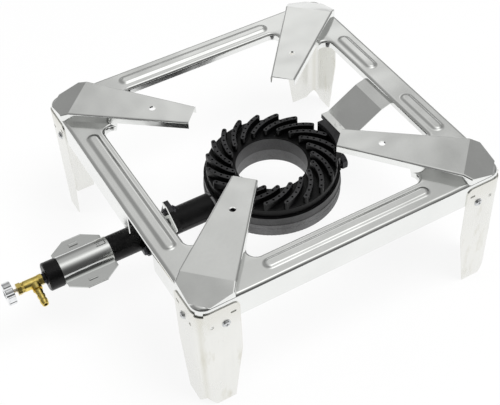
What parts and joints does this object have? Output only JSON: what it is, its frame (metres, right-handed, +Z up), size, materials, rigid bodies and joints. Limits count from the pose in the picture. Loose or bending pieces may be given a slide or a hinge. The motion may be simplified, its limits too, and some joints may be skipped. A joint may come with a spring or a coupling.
{
  "type": "stock pot range",
  "caption": "Low square steel stand with diagonal pot arms over a cast ring gas burner, fed by a mixing tube with air shutter, brass valve and hose barb.",
  "frame": {"origin": "on the floor under the middle of the square top", "axes": "+Z up; the mixing tube and the knob leave along -X; +X is the rail whose tongue carries the burner"},
  "size_m": [0.5538, 0.4072, 0.1838],
  "materials": {
    "top_steel": "satin to bright stainless",
    "leg_steel": "pale satin stainless",
    "shutter_steel": "satin sheet steel",
    "zinc": "bright zinc plate",
    "dark_zinc": "dark oxide",
    "cast_black": "satin black cast iron",
    "cast_grey": "dark grey cast iron",
    "gasket_grey": "pressed fibre",
    "packing": "fluoropolymer",
    "brass": "turned brass",
    "knob_chrome": "polished chrome plate"
  },
  "bodies": {
    "stand": {"top_frame": "top_steel", "leg_front": "leg_steel", "leg_right": "leg_steel", "leg_rear": "leg_steel", "leg_left": "leg_steel", "leg_screws": "zinc", "leg_nuts": "zinc", "burner_body": "cast_grey", "burner_crown": "cast_black", "crown_screws": "dark_zinc", "tongue_stud": "zinc", "tongue_nut": "zinc", "lug_plug": "dark_zinc", "tab_bolt": "dark_zinc", "tab_nut": "dark_zinc", "mixer_tube": "cast_black", "flange_gasket": "gasket_grey", "flange_bolts": "dark_zinc", "flange_nuts": "dark_zinc", "jet_holder": "dark_zinc", "gas_jet": "brass", "valve_body": "brass", "hose_barb": "brass", "gland_nut": "brass", "packing_ring": "packing"},
    "shutter": {"shutter_upper": "shutter_steel", "shutter_lower": "shutter_steel"},
    "spindle": {"spindle": "zinc"},
    "knob": {"knob": "knob_chrome", "knob_screw": "zinc"}
  },
  "joints": [
    {"name": "shutter_slide", "type": "slide", "parent": "stand", "child": "shutter", "axis": [1, 0, 0], "range_m": [0, 0.024]},
    {"name": "spindle_travel", "type": "slide", "parent": "stand", "child": "spindle", "axis": [-1, 0, 0], "range_m": [0, 0.00125]},
    {"name": "knob_turn", "type": "hinge", "parent": "spindle", "child": "knob", "pos_m": [-0.344, 0, 0.09], "axis": [-1, 0, 0], "range_deg": [0, 361]}
  ],
  "couplings": [
    {"joint": "knob_turn", "follows": "spindle_travel", "rad_per_m": 5026.5}
  ]
}
